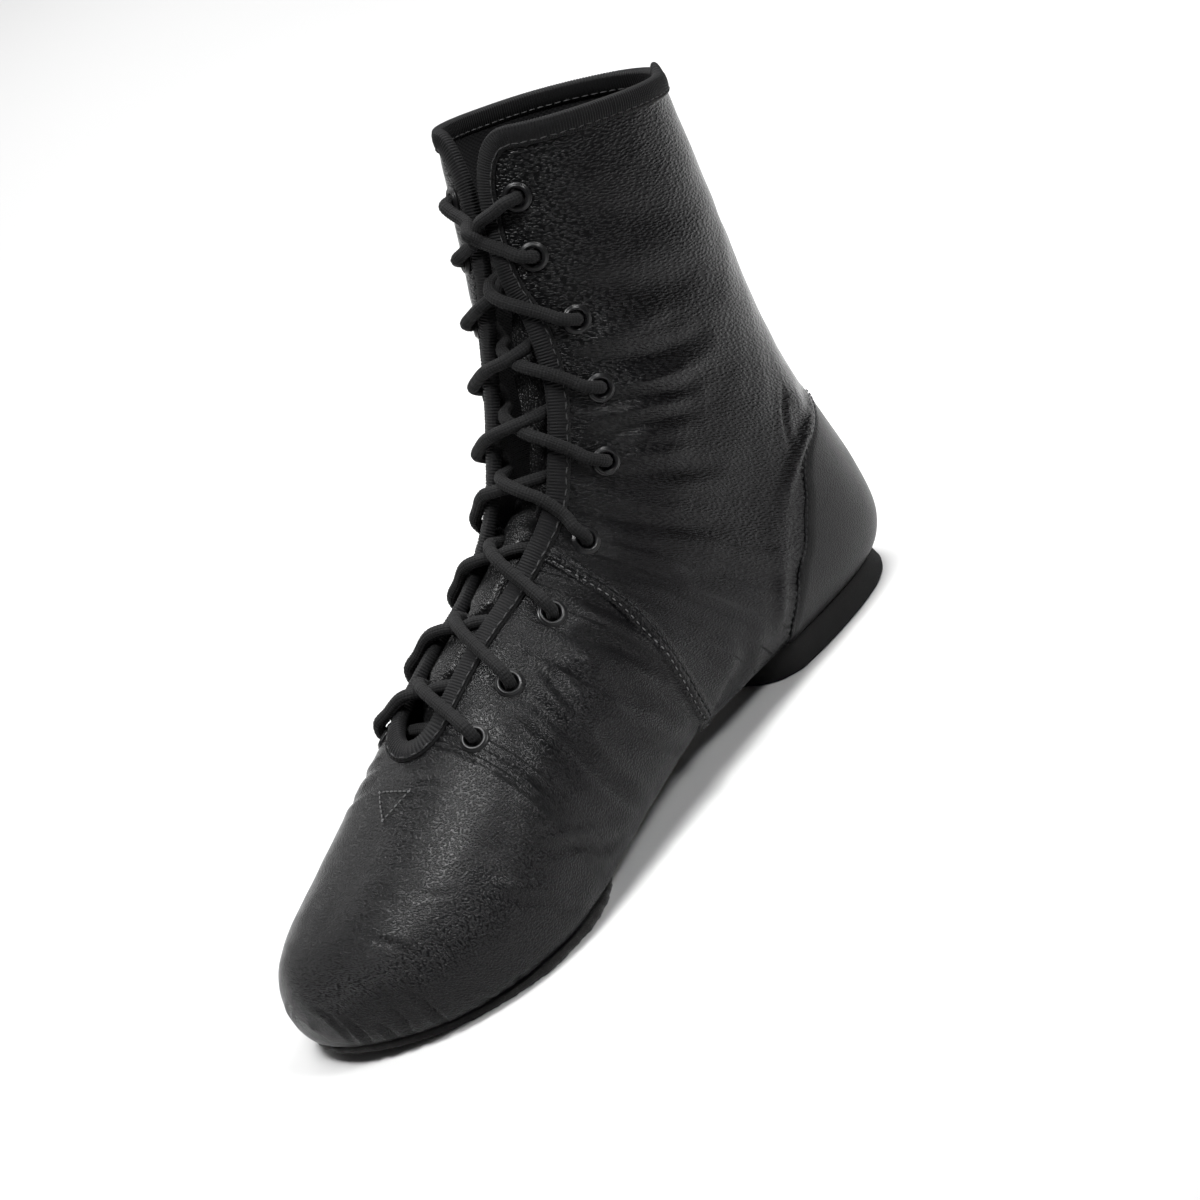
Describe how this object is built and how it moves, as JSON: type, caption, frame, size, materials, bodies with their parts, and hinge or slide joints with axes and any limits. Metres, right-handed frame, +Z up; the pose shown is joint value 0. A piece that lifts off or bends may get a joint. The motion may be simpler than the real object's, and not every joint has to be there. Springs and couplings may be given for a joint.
{
  "type": "dance boot",
  "caption": "Soft ankle-high split-sole dance boot with a long lace-up throat, taped edges, a suede forefoot pad and a low rubber heel pad.",
  "frame": {"origin": "on the floor under the middle of the boot's bounding box", "axes": "+Z up from the floor, toe towards -Y, heel and shaft towards +Y, outer (lateral) side of the foot towards +X"},
  "size_m": [0.086, 0.2679, 0.201],
  "materials": {
    "boot_leather": "soft grained black leather, satin",
    "tongue_leather": "soft grained black leather, satin",
    "counter_leather": "smooth stretched black leather, satin",
    "sole_suede": "raw black suede split",
    "heel_rubber": "matte black micro rubber",
    "insole_fabric": "black woven lining",
    "binding_tape": "ribbed black woven tape",
    "eyelet_enamel": "black enamel, worn rim",
    "lace_braid": "round black braided cord"
  },
  "bodies": {
    "root": {"upper": "boot_leather", "forefoot_sole": "sole_suede", "heel": "heel_rubber", "insole": "insole_fabric", "tongue": "tongue_leather", "edge_binding": "binding_tape", "heel_counter": "counter_leather", "eyelet_lateral_1": "eyelet_enamel", "eyelet_lateral_2": "eyelet_enamel", "eyelet_lateral_3": "eyelet_enamel", "eyelet_lateral_4": "eyelet_enamel", "eyelet_lateral_5": "eyelet_enamel", "eyelet_lateral_6": "eyelet_enamel", "eyelet_lateral_7": "eyelet_enamel", "eyelet_lateral_8": "eyelet_enamel", "eyelet_lateral_9": "eyelet_enamel", "eyelet_medial_1": "eyelet_enamel", "eyelet_medial_2": "eyelet_enamel", "eyelet_medial_3": "eyelet_enamel", "eyelet_medial_4": "eyelet_enamel", "eyelet_medial_5": "eyelet_enamel", "eyelet_medial_6": "eyelet_enamel", "eyelet_medial_7": "eyelet_enamel", "eyelet_medial_8": "eyelet_enamel", "eyelet_medial_9": "eyelet_enamel", "lace_bar": "lace_braid", "lace_cross_1": "lace_braid", "lace_cross_2": "lace_braid", "lace_cross_3": "lace_braid", "lace_cross_4": "lace_braid", "lace_cross_5": "lace_braid", "lace_cross_6": "lace_braid", "lace_cross_7": "lace_braid", "lace_cross_8": "lace_braid"}
  },
  "joints": []
}
